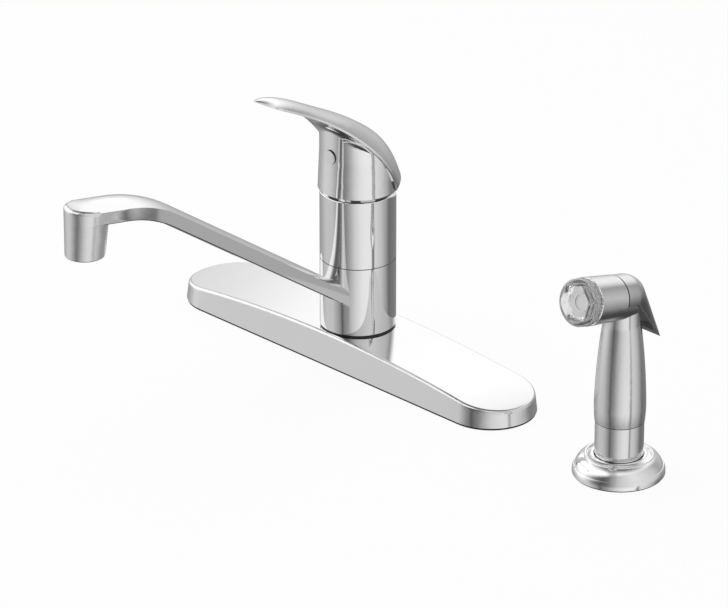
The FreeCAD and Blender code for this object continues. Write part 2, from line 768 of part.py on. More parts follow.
def cartridge_housing():
    inner = CARTRIDGE_RADIUS - HOUSING_WALL
    shell = ring(CARTRIDGE_RADIUS, inner, fixed_z, housing_top)
    shoulder = ring(CARTRIDGE_RADIUS, neck_bore, housing_top - HOUSING_SHOULDER, housing_top)
    neck = ring(neck_outer, neck_bore, housing_top - HOUSING_SHOULDER, neck_top)
    return joined(shell, shoulder, neck)


def cartridge_carrier():
    flange = cylinder(CARTRIDGE_RADIUS - HOUSING_WALL - LOOSE, flange_z, flange_top)
    turret = cylinder(CARRIER_RADIUS, flange_z, neck_top + CARRIER_STANDS)
    carrier = joined(flange, turret)
    rail_in = DRIVER_HALF_WIDTH + LOOSE
    rail_z = driver_z + LOOSE
    for side in (-1, 1):
        edges = sorted((side * rail_in, side * (rail_in + RAIL_WIDTH)))
        rail = block(*edges, -DRIVER_HALF_LENGTH, DRIVER_HALF_LENGTH, rail_z, flange_z + 1)
        carrier = joined(carrier, rail)
    half_x = STEM_SQUARE / 2 + LOOSE
    half_y = slot_half()
    carrier = carrier.cut(block(-half_x, half_x, -half_y, half_y, driver_z, neck_top + 5))
    hole = rod(PIN_RADIUS + FILM / 5, V(-CARRIER_RADIUS - 1, 0, pivot_z), V(CARRIER_RADIUS + 1, 0, pivot_z))
    return carrier.cut(hole)


def lever_pin():
    half = CARRIER_RADIUS - 2 * FILM
    return rod(PIN_RADIUS, V(-half, 0, pivot_z), V(half, 0, pivot_z))


def cartridge_stem():
    half = STEM_SQUARE / 2
    shaft = block(-half, half, -half, half, pivot_z, ridge_z + STEM_TOP)
    barrel = rod(STEM_BARREL, V(-half, 0, pivot_z), V(half, 0, pivot_z))
    leg_half = LEG_SQUARE / 2
    ball_z = pivot_z - STEM_LEG
    leg = block(-leg_half, leg_half, -leg_half, leg_half, ball_z, pivot_z)
    leg = leg.common(cylinder(BALL_RADIUS, ball_z - 1, pivot_z + 1))
    ball = Part.makeSphere(BALL_RADIUS, V(0, 0, ball_z))
    stem = joined(shaft, barrel, leg, ball)
    return stem.cut(rod(PIN_RADIUS + RUNNING, V(-half - 1, 0, pivot_z), V(half + 1, 0, pivot_z)))


def cartridge_nut():
    return notched_ring(nut_thread - THREAD, neck_outer + THREAD, housing_top, nut_top)


def blade_stations():
    stations = list(LEVER_STATIONS)
    for edge_y, edge_z, over, crest_y, crest_z in HOOD_STATIONS:
        stations.append((edge_y, edge_z, body_radius + over, crest_y, crest_z))
    return stations


def blade_section(edge_y, edge_z, half_width, crest_y, crest_z):
    up = V(0, crest_y - edge_y, crest_z - edge_z)
    height = up.Length
    up.normalize()
    base = V(0, edge_y, ridge_z + edge_z)
    lip = min(BLADE_EDGE, 0.3 * height)
    return outline(
        lambda p: base.add(V(p[0], 0, 0)).add(up * p[1]),
        (-half_width, 0),
        (half_width, 0),
        (half_width, lip),
        ((0, height), (-half_width, lip)),
    )


def neck_flare():
    # Round fillet from the hub's front to the blade's sloping underside: a tilted disc less a tilted ring.
    turn = math.radians(HANDLE_NECK_SLOPE)
    normal = V(0, math.sin(turn), math.cos(turn))
    forward = V(0, -math.cos(turn), math.sin(turn))
    under_z = ridge_z + HANDLE_NECK_HEIGHT + HANDLE_NECK_PLACE * math.tan(turn)
    axis_z = under_z - HANDLE_NECK_RADIUS / math.cos(turn)
    centre = V(0, 0, axis_z).add(forward * HANDLE_NECK_FORWARD)
    disc = Part.makeCylinder(HANDLE_NECK_RING, 2 * HANDLE_NECK_RADIUS, centre, normal)
    disc = disc.cut(Part.makeTorus(HANDLE_NECK_RING, HANDLE_NECK_RADIUS, centre, normal))
    # Below the line where the fillet meets the hub there is only the hub.
    steep = math.tan(turn) * (body_radius + HANDLE_NECK_RADIUS) / body_radius
    reach = 3 * body_radius
    return disc.common(prism(
        reach,
        (0, axis_z),
        (-reach, axis_z + reach * steep),
        (-reach, axis_z + 2 * reach * steep),
        (0, axis_z + 2 * reach * steep),
    ))


def lever_handle():
    stations = blade_stations()
    blade = Part.makeLoft([blade_section(*s) for s in stations], True, False)
    foot = body_radius + HANDLE_HUB_FLARE
    hub = turned(
        (0, rim_z),
        (foot - RIM_BEVEL, rim_z),
        (foot, rim_z + 2 * RIM_BEVEL),
        (body_radius, ridge_z + INDEX_HEIGHT),
        (body_radius, ridge_z + HANDLE_TOP),
        (0, ridge_z + HANDLE_TOP),
    )
    # The neck spreads under the blade and stays inside its sides.
    under = [(stations[3][0], ridge_z - 2)]
    right = []
    left = []
    for edge_y, edge_z, half_width, crest_y, crest_z in stations[3:]:
        under.append((edge_y + 0.15 * (crest_y - edge_y), ridge_z + edge_z + 0.15 * (crest_z - edge_z)))
    for edge_y, edge_z, half_width, crest_y, crest_z in stations[4:9]:
        right.append((NECK_INSIDE_BLADE * half_width, edge_y))
        left.insert(0, (-NECK_INSIDE_BLADE * half_width, edge_y))
    side = body_radius - BLADE_EDGE
    plan = Part.Face(outline(lambda p: V(p[0], p[1], 0), *right, (side, 0), (-side, 0), *left))
    flare = neck_flare().common(plan.extrude(V(0, 0, 2 * ridge_z)))
    hub = joined(hub, flare).common(prism(3 * body_radius, *under))
    handle = joined(blade, hub)
    # The rear of the rim is rounded in so that it clears the bonnet as the lever lifts.
    ball = Part.makeSphere(RIM_BALL_RADIUS, V(0, -RIM_BALL_FORWARD, ridge_z + RIM_BALL_HEIGHT))
    room = 3 * body_radius
    rim = block(-room, room, -room, room, ridge_z - 5, ridge_z + RIM_BALL_TOP).cut(ball)
    handle = handle.cut(rim)
    reach = 2 * body_radius
    under_rim = prism(
        reach,
        (0, rim_z),
        (reach, rim_z + reach * slope(RIM_REAR)),
        (reach, rim_z - reach),
        (0, rim_z - reach),
    )
    handle = handle.cut(under_rim)
    handle = handle.cut(Part.makeSphere(HANDLE_CAVITY_RADIUS, V(0, 0, pivot_z)))
    half = STEM_SQUARE / 2 + FILM
    handle = handle.cut(block(-half, half, -half, half, ridge_z - 5, ridge_z + STEM_TOP + FILM))
    index_z = ridge_z + INDEX_HEIGHT
    outside = V(0, -2 * body_radius, index_z)
    handle = handle.cut(rod(INDEX_RADIUS + FILM, outside, V(0, -body_radius + INDEX_DEPTH, index_z)))
    return handle.cut(rod(SCREW_RADIUS + FILM, outside, V(0, 0, index_z)))


def handle_set_screw():
    index_z = ridge_z + INDEX_HEIGHT
    head = -body_radius + INDEX_DEPTH + LOOSE
    screw = rod(SCREW_RADIUS, V(0, head, index_z), V(0, -STEM_SQUARE / 2, index_z))
    return screw.cut(rod(SCREW_RADIUS / 2, V(0, head - 1, index_z), V(0, head + SCREW_RADIUS, index_z)))


def index_button():
    index_z = ridge_z + INDEX_HEIGHT
    button = rod(INDEX_RADIUS, V(0, -2 * body_radius, index_z), V(0, -body_radius + INDEX_DEPTH, index_z))
    return button.common(cylinder(body_radius + INDEX_PROUD, ridge_z, ridge_z + 2 * INDEX_HEIGHT))


def at_spray(shape):
    shape.translate(spray_place)
    return shape


def at_head(shape):
    # The sprayer's head tips its nozzle up about the axis of the grip.
    shape.rotate(ORIGIN, AXIS_X, -HEAD_TILT)
    shape.translate(V(0, 0, HEAD_HEIGHT))
    return shape


def spray_base():
    # A bell: round skirt, creased shoulder, and a lip about the collar behind a shallow valley.
    bore = COLLAR_RADIUS + COLLAR_GUIDE
    lip = bore + BASE_LIP
    foot = SPRAY_BASE_RADIUS
    crease = foot - BASE_SKIRT_DRAFT
    crease_z = SPRAY_GASKET + BASE_SKIRT
    top = SPRAY_BASE_HEIGHT
    valley = (BASE_SHOULDER_RADIUS + lip) / 2
    return at_spray(turned(
        (SPRAY_HOSE_HOLE, SPRAY_GASKET),
        (foot, SPRAY_GASKET),
        (foot, SPRAY_GASKET + BASE_RIM),
        ((foot - BASE_SKIRT_DRAFT / 4, crease_z - BASE_SKIRT / 3), (crease, crease_z)),
        (crease - BASE_CREASE, crease_z),
        (
            ((crease + BASE_SHOULDER_RADIUS) / 2 + BASE_BULGE, (crease_z + top) / 2),
            (BASE_SHOULDER_RADIUS, top - BASE_BULGE),
        ),
        ((BASE_SHOULDER_RADIUS - BASE_BULGE, top), (valley, top - BASE_VALLEY)),
        (lip, top - BASE_CREASE),
        (lip - BASE_CREASE, top),
        (bore, top),
        (bore, SPRAY_SEAT),
        (SPRAY_HOSE_HOLE, SPRAY_SEAT),
    ))


def spray_base_gasket():
    return at_spray(ring(SPRAY_BASE_RADIUS - GASKET_INSET, SPRAY_HOSE_HOLE + GASKET_INSET, 0, SPRAY_GASKET))


def spray_collar():
    inner = COLLAR_RADIUS - COLLAR_WALL
    sleeve = ring(COLLAR_RADIUS, inner, SPRAY_SEAT, COLLAR_TOP)
    floor = ring(COLLAR_RADIUS, fitting_radius() + THREAD, SPRAY_SEAT, SPRAY_SEAT + COLLAR_FLOOR)
    return at_spray(joined(sleeve, floor))


def fitting_radius():
    return HOSE_TAP_RADIUS + COLLAR_WALL


def hose_fitting():
    z0 = SPRAY_SEAT + COLLAR_FLOOR
    body = cylinder(fitting_radius(), SPRAY_SEAT, z0 + HOSE_TAP_DEPTH)
    flange = cylinder(COLLAR_RADIUS - COLLAR_WALL - THREAD, z0, z0 + FITTING_FLANGE)
    fitting = joined(body, flange)
    fitting = fitting.cut(cylinder(HOSE_TAP_RADIUS, 0, SPRAY_SEAT + HOSE_TAP_DEPTH))
    return at_spray(fitting.cut(cylinder(HOSE_TAP_RADIUS - COLLAR_FLOOR, 0, z0 + HOSE_TAP_DEPTH + 1)))


def head_form(radius):
    # Barrel, ball and tail of one radius: the trigger's outside, and its hollow.
    tail = V(0, math.sin(math.radians(TRIGGER_TAIL_ANGLE)), -math.cos(math.radians(TRIGGER_TAIL_ANGLE)))
    barrel = rod(radius, V(0, -2 * TRIGGER_SEAM, 0), ORIGIN)
    elbow = Part.makeSphere(radius, ORIGIN, tail)
    return joined(barrel, elbow, rod(radius, ORIGIN, tail * (2 * TRIGGER_TAIL_LENGTH)))


def tail_point(along_tail, out):
    turn = math.radians(TRIGGER_TAIL_ANGLE)
    y = along_tail * math.sin(turn) + out * math.cos(turn)
    z = -along_tail * math.cos(turn) + out * math.sin(turn)
    return (y, z)


def trigger_side(front, drop, tip_wall):
    # Side view of the room the trigger takes, from its seam round to the tail's tip.
    reach = 4 * HEAD_RADIUS
    tip = TRIGGER_TAIL_LENGTH - tip_wall
    return (
        (-front, reach),
        (-front, -TRIGGER_LIP - drop),
        (0, -TRIGGER_LIP / 2 - drop),
        tail_point(tip, HEAD_RADIUS - TRIGGER_TAIL_TIP - drop),
        tail_point(tip - TRIGGER_TIP_SLANT * (reach - HEAD_RADIUS), reach),
    )


def pressed(shape, angle):
    shape.rotate(V(0, TRIGGER_PIVOT_Y, TRIGGER_PIVOT_Z), AXIS_X, -angle)
    return shape


plunger_y = TRIGGER_PIVOT_Y + PLUNGER_ARM
button_z = TOWER_TOP + SPRING_LENGTH
button_top = button_z + PLUNGER_BUTTON


def spray_shell():
    foot_z = COLLAR_TOP
    grip = turned(
        (0, foot_z),
        (GRIP_FOOT_RADIUS - GRIP_FOOT_BEVEL, foot_z),
        (GRIP_FOOT_RADIUS, foot_z + GRIP_FOOT_BEVEL),
        (
            (GRIP_SWELL_RADIUS - GRIP_FOOT_BEVEL / 2, (foot_z + GRIP_SWELL_HEIGHT) / 2),
            (GRIP_SWELL_RADIUS, GRIP_SWELL_HEIGHT),
        ),
        ((GRIP_MID_RADIUS, GRIP_MID_HEIGHT), (GRIP_NECK_RADIUS, GRIP_NECK_HEIGHT)),
        (GRIP_NECK_RADIUS, HEAD_HEIGHT),
        (0, HEAD_HEIGHT),
    )
    nipple = cylinder(COLLAR_RADIUS - COLLAR_WALL - THREAD, foot_z - NIPPLE_LENGTH, foot_z)
    length = HEAD_FRONT
    barrel = Part.makeCone(HEAD_RADIUS, HEAD_FRONT_RADIUS, length, ORIGIN, V(0, -1, 0))
    head = at_head(joined(barrel, Part.makeSphere(HEAD_RADIUS)))
    shell = joined(grip, nipple, head)
    width = 2 * HEAD_RADIUS
    for angle in (0, TRIGGER_PRESS / 2, TRIGGER_PRESS):
        room = pressed(prism(width, *trigger_side(TRIGGER_SEAM, SEAM, -HEAD_RADIUS)), angle)
        keep = block(-width, width, -4 * width, -TRIGGER_SEAM, -4 * width, 4 * width)
        shell = shell.cut(at_head(room.cut(keep)))
    lug_back = TRIGGER_PIVOT_Y + 2 * TRIGGER_PIN_RADIUS
    lug_top = TRIGGER_PIVOT_Z + 2 * TRIGGER_PIN_RADIUS
    lug = block(-TRIGGER_LUG_HALF, TRIGGER_LUG_HALF, -TRIGGER_SEAM - 1, lug_back, -TRIGGER_LIP * 3, lug_top)
    tower = cylinder(TOWER_RADIUS, VALVE_CHAMBER_ROOF - 1, TOWER_TOP, 0, plunger_y)
    shell = joined(shell, at_head(lug), at_head(tower))
    pin_half = HEAD_RADIUS
    pin_hole = rod(
        TRIGGER_PIN_RADIUS + FILM / 5,
        V(-pin_half, TRIGGER_PIVOT_Y, TRIGGER_PIVOT_Z),
        V(pin_half, TRIGGER_PIVOT_Y, TRIGGER_PIVOT_Z),
    )
    shell = shell.cut(at_head(pin_hole))
    front = V(0, -2 * HEAD_FRONT, 0)
    shell = shell.cut(at_head(rod(HEAD_CHAMBER_RADIUS, front, V(0, -TRIGGER_SEAM - TRIGGER_WALL - 2, 0))))
    shell = shell.cut(at_head(cylinder(PLUNGER_RADIUS + RUNNING, -20, 20, 0, plunger_y)))
    chamber = cylinder(VALVE_CHAMBER_RADIUS, VALVE_CHAMBER_FLOOR, VALVE_CHAMBER_ROOF, 0, plunger_y)
    shell = shell.cut(at_head(chamber))
    passage_z = (VALVE_CHAMBER_ROOF + VALVE_CHAMBER_FLOOR) / 2
    passage = rod(PLUNGER_RADIUS, V(0, plunger_y, passage_z), V(0, 2 - HEAD_FRONT, passage_z))
    shell = shell.cut(at_head(passage))
    bore_top = HEAD_HEIGHT + VALVE_CHAMBER_FLOOR + 1
    return at_spray(shell.cut(cylinder(GRIP_BORE, foot_z - NIPPLE_LENGTH - 1, bore_top)))


def trigger_lever():
    # A hollow cap and tail, open towards the grip, with two bosses on the pin and a nub over the plunger.
    front = TRIGGER_SEAM - TRIGGER_GAP
    solid = head_form(HEAD_RADIUS).common(prism(2 * HEAD_RADIUS, *trigger_side(front, 0, 0)))
    inner = HEAD_RADIUS - TRIGGER_WALL
    room = prism(2 * HEAD_RADIUS, *trigger_side(front - TRIGGER_WALL, 4 * TRIGGER_WALL, TRIGGER_WALL))
    shell = solid.cut(head_form(inner).common(room))
    back = TRIGGER_PIVOT_Y + 2 * TRIGGER_PIN_RADIUS
    cheek_z = TRIGGER_PIVOT_Z + 2 * TRIGGER_PIN_RADIUS
    cheeks = block(-HEAD_RADIUS, HEAD_RADIUS, -front, back, -TRIGGER_LIP, cheek_z).common(solid)
    lug_half = TRIGGER_LUG_HALF + LOOSE
    lug_top = TRIGGER_PIVOT_Z + 4 * TRIGGER_PIN_RADIUS
    lug_room = block(-lug_half, lug_half, -2 * front, back, -HEAD_RADIUS, lug_top)
    nub_z = button_top + LOOSE
    nub_round = PLUNGER_RADIUS - NUB_FLAT
    nub = turned(
        (0, nub_z),
        (NUB_FLAT, nub_z),
        (
            (NUB_FLAT + nub_round * math.sin(math.pi / 4), nub_z + nub_round * (1 - math.cos(math.pi / 4))),
            (PLUNGER_RADIUS, nub_z + nub_round),
        ),
        (PLUNGER_RADIUS, HEAD_RADIUS - TRIGGER_WALL / 2),
        (0, HEAD_RADIUS - TRIGGER_WALL / 2),
    )
    nub.translate(V(0, plunger_y, 0))
    lever = joined(joined(shell, cheeks).cut(lug_room), nub)
    half = TRIGGER_LUG_HALF + 3 * TRIGGER_PIN_RADIUS / 2 + FILM
    hole = rod(
        TRIGGER_PIN_RADIUS + RUNNING,
        V(-half, TRIGGER_PIVOT_Y, TRIGGER_PIVOT_Z),
        V(half, TRIGGER_PIVOT_Y, TRIGGER_PIVOT_Z),
    )
    return at_spray(at_head(lever.cut(hole)))


def trigger_pin():
    half = TRIGGER_LUG_HALF + 3 * TRIGGER_PIN_RADIUS / 2
    pin = rod(
        TRIGGER_PIN_RADIUS,
        V(-half, TRIGGER_PIVOT_Y, TRIGGER_PIVOT_Z),
        V(half, TRIGGER_PIVOT_Y, TRIGGER_PIVOT_Z),
    )
    return at_spray(at_head(pin))


def valve_plunger():
    head_top = VALVE_CHAMBER_ROOF - 2 * PLUNGER_RADIUS / 2 - FILM
    stem = cylinder(PLUNGER_RADIUS, head_top - PLUNGER_HEAD, button_top, 0, plunger_y)
    button = cylinder(PLUNGER_BUTTON_RADIUS, button_z, button_top, 0, plunger_y)
    head = cylinder(PLUNGER_HEAD_RADIUS, head_top - PLUNGER_HEAD, head_top, 0, plunger_y)
    return at_spray(at_head(joined(stem, button, head)))


def plunger_seal():
    head_top = VALVE_CHAMBER_ROOF - 2 * PLUNGER_RADIUS / 2 - FILM
    seal = ring(PLUNGER_HEAD_RADIUS - LOOSE, PLUNGER_RADIUS + FILM, head_top, VALVE_CHAMBER_ROOF - FILM)
    seal.translate(V(0, plunger_y, 0))
    return at_spray(at_head(seal))


def plunger_spring():
    # Folded steel bellows between the tower and the button.
    fold = (SPRING_LENGTH - 2 * FILM) / SPRING_FOLDS
    heights = [TOWER_TOP + FILM + fold * step for step in range(SPRING_FOLDS + 1)]
    radii = [SPRING_RADIUS + SPRING_WAVE * (step % 2) for step in range(SPRING_FOLDS + 1)]
    inside = list(zip(radii, heights))
    outside = [(radius + SPRING_WALL, height) for radius, height in reversed(inside)]
    spring = turned(*inside, *outside)
    spring.translate(V(0, plunger_y, 0))
    return at_spray(at_head(spring))


def facet_wire(radius, depth):
    turns = [2 * math.pi * (step + 0.25) / NOZZLE_FACETS for step in range(NOZZLE_FACETS)]
    points = [(radius * math.cos(turn), radius * math.sin(turn)) for turn in turns]
    return outline(lambda p: V(p[0], -depth, p[1]), *points)


def spray_nozzle():
    # Clear cap with a six-sided recess and a raised ring on its floor, on a spigot in the barrel.
    radius = HEAD_FRONT_RADIUS - THREAD
    reach = HEAD_FRONT + NOZZLE_LENGTH
    flange = turned(
        (0, HEAD_FRONT),
        (radius, HEAD_FRONT),
        (radius - LOOSE, reach - NOZZLE_BEVEL),
        (radius - NOZZLE_BEVEL, reach),
        (0, reach),
    )
    flange.rotate(ORIGIN, AXIS_X, 90)
    spigot = rod(HEAD_CHAMBER_RADIUS - THREAD, V(0, -HEAD_FRONT, 0), V(0, -HEAD_FRONT + NOZZLE_SPIGOT, 0))
    floor = reach - NOZZLE_RECESS
    recess = Part.makeLoft([facet_wire(NOZZLE_MOUTH, reach), facet_wire(NOZZLE_FLOOR, floor)], True, True)
    face = joined(flange, spigot).cut(recess)
    raised = rod(NOZZLE_RING_RADIUS, V(0, -floor, 0), V(0, -floor - NOZZLE_RING_WALL, 0))
    raised = raised.cut(rod(NOZZLE_RING_RADIUS - NOZZLE_RING_WALL, V(0, -floor + 1, 0), V(0, -reach, 0)))
    bore = rod(HEAD_CHAMBER_RADIUS - 2 * NOZZLE_RING_WALL, V(0, -HEAD_FRONT + 1, 0), ORIGIN)
    return at_spray(at_head(joined(face, raised).cut(bore)))


def nozzle_core():
    # Perforated plate behind the clear face.
    start = -HEAD_FRONT + NOZZLE_SPIGOT + WASHER_THICKNESS
    radius = HEAD_CHAMBER_RADIUS - THREAD
    core = rod(radius, V(0, start, 0), V(0, start + NOZZLE_CORE_LENGTH, 0))
    holes = []
    for step in range(2 * NOZZLE_FACETS):
        turn = math.pi * step / NOZZLE_FACETS
        x = 0.65 * radius * math.cos(turn)
        z = 0.65 * radius * math.sin(turn)
        holes.append(rod(SCREEN_HOLE, V(x, start - 1, z), V(x, start + NOZZLE_CORE_LENGTH + 1, z)))
    return at_spray(at_head(core.cut(holes)))


def nozzle_seal():
    start = -HEAD_FRONT + NOZZLE_SPIGOT
    outer = rod(HEAD_CHAMBER_RADIUS - THREAD, V(0, start, 0), V(0, start + WASHER_THICKNESS, 0))
    inner = HEAD_CHAMBER_RADIUS - 2 * NOZZLE_RING_WALL
    seal = outer.cut(rod(inner, V(0, start - 1, 0), V(0, start + WASHER_THICKNESS + 1, 0)))
    return at_spray(at_head(seal))


def head_ring():
    return slip_ring(hub_z1, shoulder_z)


NODES = (
    deck_plate, deck_gasket, support_plate, stud_inserts, valve_body, flange_nut, foot_ring, head_ring,
    spout_seals, spout_stop_pin, diverter_body, diverter_spool, bonnet, cartridge_base, cartridge_seals,
    fixed_disc, cartridge_housing, cartridge_nut, drive_cap, moving_disc, disc_driver, cartridge_carrier,
    lever_pin, cartridge_stem, lever_handle, handle_set_screw, index_button, spout, aerator_housing,
    aerator_screen, aerator_washer, spray_base, spray_base_gasket, spray_collar, hose_fitting, spray_shell,
    spray_nozzle, nozzle_core, nozzle_seal, trigger_lever, trigger_pin, valve_plunger, plunger_seal,
    plunger_spring,
)

os.makedirs("parts", exist_ok=True)
for make in NODES:
    shape = make()
    solids = shape.Solids
    if len(solids) == 1:
        shape = solids[0]
    print(make.__name__, len(solids), shape.isValid(), round(shape.Volume, 1))
    shape.exportStep(os.path.join("parts", make.__name__ + ".step"))
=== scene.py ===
import bpy
import bmesh
import json
import math
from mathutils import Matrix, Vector


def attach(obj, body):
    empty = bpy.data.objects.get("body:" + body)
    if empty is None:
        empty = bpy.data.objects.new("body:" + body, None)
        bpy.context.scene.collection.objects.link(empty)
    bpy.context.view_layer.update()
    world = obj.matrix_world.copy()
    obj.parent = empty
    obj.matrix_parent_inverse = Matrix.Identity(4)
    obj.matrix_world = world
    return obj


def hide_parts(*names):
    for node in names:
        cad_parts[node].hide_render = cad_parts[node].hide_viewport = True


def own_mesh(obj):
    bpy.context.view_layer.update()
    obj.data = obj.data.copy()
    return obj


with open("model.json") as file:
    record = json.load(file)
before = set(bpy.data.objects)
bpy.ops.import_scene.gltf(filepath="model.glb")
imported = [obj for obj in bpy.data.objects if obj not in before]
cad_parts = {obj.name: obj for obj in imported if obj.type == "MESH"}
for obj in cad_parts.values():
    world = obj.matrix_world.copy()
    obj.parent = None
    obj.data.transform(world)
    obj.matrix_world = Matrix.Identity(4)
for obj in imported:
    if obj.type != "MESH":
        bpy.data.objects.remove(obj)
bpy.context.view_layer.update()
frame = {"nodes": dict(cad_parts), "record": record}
nodes = frame["nodes"]
record = frame["record"]
scene = bpy.context.scene
scene.view_settings.view_transform = "Standard"
print("frame loaded:", len(nodes), "nodes")


class Wire:
    # a socket that can be used in sums; each sum adds a Math node
    def __init__(self, tree, socket):
        self.tree = tree
        self.socket = socket

    def reckon(self, operation, *values):
        node = self.tree.nodes.new("ShaderNodeMath")
        node.operation = operation
        for slot, value in enumerate(values):
            if isinstance(value, Wire):
                self.tree.links.new(value.socket, node.inputs[slot])
            else:
                node.inputs[slot].default_value = value
        return Wire(self.tree, node.outputs[0])

    def __add__(self, other):
        return self.reckon("ADD", self, other)

    def __radd__(self, other):
        return self.reckon("ADD", other, self)

    def __sub__(self, other):
        return self.reckon("SUBTRACT", self, other)

    def __rsub__(self, other):
        return self.reckon("SUBTRACT", other, self)

    def __mul__(self, other):
        return self.reckon("MULTIPLY", self, other)

    def __rmul__(self, other):
        return self.reckon("MULTIPLY", other, self)


class Sheet:
    # the node sheet of one material or of the world
    def __init__(self, tree):
        self.tree = tree
        tree.nodes.clear()

    def add(self, kind, settings, sockets, out=0):
        node = self.tree.nodes.new(kind)
        for name, value in settings.items():
            if name == "stops":
                setStops(node.color_ramp.elements, value)
            else:
                setattr(node, name, value)
        for name, value in sockets.items():
            if isinstance(value, Wire):
                self.tree.links.new(value.socket, node.inputs[name])
            else:
                node.inputs[name].default_value = value
        if len(node.outputs):
            return Wire(self.tree, node.outputs[out])

    def ramp(self, stops, factor):
        return self.add("ShaderNodeValToRGB", {"stops": stops}, {"Fac": factor})

    def place(self, kind="Object"):
        return self.add("ShaderNodeTexCoord", {}, {}, kind)

    def part(self, vector, axis):
        return self.add("ShaderNodeSeparateXYZ", {}, {"Vector": vector}, axis)

    def ray(self, kind):
        return self.add("ShaderNodeLightPath", {}, {}, "Is " + kind + " Ray")

    def noise(self, scale, detail=2.0):
        sockets = {"Vector": self.place(), "Scale": scale, "Detail": detail}
        return self.add("ShaderNodeTexNoise", {}, sockets, "Fac")

    def blend(self, factor, low, high):
        # Mix has sockets for each kind of value: 0 is the factor, 6 and 7 are colours, and output 2 is theirs
        return self.add("ShaderNodeMix", {"data_type": "RGBA"}, {0: factor, 6: low, 7: high}, 2)

    def bump(self, height, depth):
        return self.add("ShaderNodeBump", {}, {"Height": height, "Distance": depth, "Strength": 1.0})

    def finish(self, **sockets):
        named = {name.replace("_", " "): value for name, value in sockets.items()}
        shader = self.add("ShaderNodeBsdfPrincipled", {}, named)
        self.add("ShaderNodeOutputMaterial", {}, {"Surface": shader})


def setStops(elements, stops):
    while len(elements) < len(stops):
        elements.new(1.0)
    for element, (position, shade) in zip(elements, stops):
        element.position = position
        element.color = grey(shade)


def newSheet(name):
    material = bpy.data.materials.new(name)
    material.use_nodes = True
    return material, Sheet(material.node_tree)


def grey(level, tint=0.0):
    return (level - tint, level, level + tint, 1.0)


# finishes

chromeLooks = {
    "bodyChrome": {"deep": grey(0.80), "pale": grey(0.86), "rough": 0.035, "spread": 0.03, "haze": 55.0},
    "noseChrome": {"deep": grey(0.84), "pale": grey(0.90), "rough": 0.26, "spread": 0.03, "haze": 55.0},
    "plateChrome": {"deep": grey(0.82), "pale": grey(0.87), "rough": 0.03, "spread": 0.03, "haze": 40.0},
    "wallChrome": {"deep": grey(0.83), "pale": grey(0.87), "rough": 0.09, "spread": 0.03, "haze": 40.0},
    "leverChrome": {"deep": grey(0.86), "pale": grey(0.91), "rough": 0.07, "spread": 0.04, "haze": 60.0},
    "baseChrome": {"deep": grey(0.90), "pale": grey(0.96), "rough": 0.12, "spread": 0.03, "haze": 60.0},
    "sprayerChrome": {"deep": grey(0.78), "pale": grey(0.84), "rough": 0.14, "spread": 0.05, "haze": 70.0},
    "triggerChrome": {
        "deep": grey(0.72), "pale": grey(0.80), "rough": 0.15, "spread": 0.05, "haze": 70.0,
        # painted shade: the trigger's chrome is coloured darker below a height, where its tail is shaded
        "paintedShade": {"low": 0.102, "high": 0.113, "shade": grey(0.24)},  # darker below, between two heights
    },
}
chromeWear = {"cloud": 18.0, "hazeDetail": 4.0, "ripple": 0.00001}


def makeChrome(name):
    look = chromeLooks[name]
    material, sheet = newSheet(name)
    cloud = sheet.noise(chromeWear["cloud"])
    haze = sheet.noise(look["haze"], chromeWear["hazeDetail"])
    tone = sheet.blend(cloud, look["deep"], look["pale"])
    # painted shade: below the given heights the tone turns darker
    if "paintedShade" in look:
        paintedShade = look["paintedShade"]
        height = sheet.part(sheet.place(), "Z")
        span = {"Value": height, "From Min": paintedShade["low"], "From Max": paintedShade["high"]}
        tone = sheet.blend(sheet.add("ShaderNodeMapRange", {}, span), paintedShade["shade"], tone)
    sheet.finish(
        Base_Color=tone,
        Roughness=haze * look["spread"] + look["rough"],
        Metallic=1.0,
        Normal=sheet.bump(cloud, chromeWear["ripple"]),
    )
    return material


plainLooks = {
    "blackRubber": {
        "deep": grey(0.010), "pale": grey(0.030), "rough": 0.55, "spread": 0.25,
        "grain": 900.0, "depth": 0.00004, "metal": 0.0,
    },
    # black plastic; on the sprayer's seam and foot lines and on the button's side it is painted shade
    "blackPlasticAndShade": {
        "deep": grey(0.012), "pale": grey(0.028), "rough": 0.35, "spread": 0.2,
        "grain": 600.0, "depth": 0.00002, "metal": 0.0,
    },
    # bare grey plastic; inside the trigger it is also painted shade
    "barePlasticAndShade": {
        "deep": grey(0.16), "pale": grey(0.22), "rough": 0.5, "spread": 0.2,
        "grain": 600.0, "depth": 0.00002, "metal": 0.0,
    },
    "whitePlastic": {
        "deep": grey(0.72), "pale": grey(0.82), "rough": 0.4, "spread": 0.2,
        "grain": 500.0, "depth": 0.00002, "metal": 0.0,
    },
    "lappedCeramic": {
        "deep": (0.82, 0.80, 0.76, 1.0), "pale": (0.90, 0.88, 0.84, 1.0), "rough": 0.12, "spread": 0.1,
        "grain": 700.0, "depth": 0.000005, "metal": 0.0,
    },
    "turnedBrass": {
        "deep": (0.48, 0.33, 0.10, 1.0), "pale": (0.62, 0.45, 0.17, 1.0), "rough": 0.22, "spread": 0.15,
        "grain": 420.0, "depth": 0.00001, "metal": 1.0,
    },
    "springSteel": {
        "deep": grey(0.42), "pale": grey(0.56), "rough": 0.22, "spread": 0.14,
        "grain": 520.0, "depth": 0.00001, "metal": 1.0,
    },
}
plainWear = {"cloud": 45.0, "grainDetail": 3.0}


def makePlain(name):
    look = plainLooks[name]
    material, sheet = newSheet(name)
    grain = sheet.noise(look["grain"], plainWear["grainDetail"])
    cloud = sheet.noise(plainWear["cloud"])
    sheet.finish(
        Base_Color=sheet.blend(cloud, look["deep"], look["pale"]),
        Roughness=grain * look["spread"] + look["rough"],
        Metallic=look["metal"],
        Normal=sheet.bump(grain, look["depth"]),
    )
    return material


